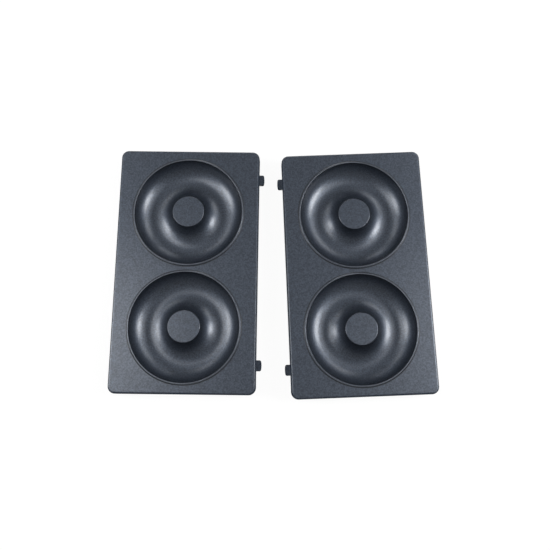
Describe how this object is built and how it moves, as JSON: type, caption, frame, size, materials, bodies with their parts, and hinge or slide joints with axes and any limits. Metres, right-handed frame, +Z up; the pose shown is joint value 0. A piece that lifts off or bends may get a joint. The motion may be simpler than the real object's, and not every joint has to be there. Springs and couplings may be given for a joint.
{
  "type": "donut maker plates",
  "caption": "Interchangeable cast donut plates for a snack maker, with ring-shaped moulds, raised beads, locating lugs and latch recesses, laid face up side by side.",
  "frame": {"origin": "on the surface that the plates rest on, midway between the two plates", "axes": "+Z up, out of the cooking faces; +X from the left plate to the right plate, across their widths; +Y along the plates, towards the ends that lie closer together"},
  "size_m": [0.2998, 0.2394, 0.0188],
  "materials": {
    "left_casting": "die-cast aluminium with a dark grey satin non-stick coating on the cooking face, sides and lugs, and bare satin casting beneath",
    "right_casting": "die-cast aluminium with a dark grey satin non-stick coating on the cooking face, sides and lugs, and bare satin casting beneath"
  },
  "bodies": {
    "left_plate": {"left_plate": "left_casting"},
    "right_plate": {"right_plate": "right_casting"}
  },
  "joints": [
    {"name": "right_plate_lift", "type": "slide", "parent": "left_plate", "child": "right_plate", "axis": [0, 0, 1], "range_m": [0, 0.1]}
  ]
}
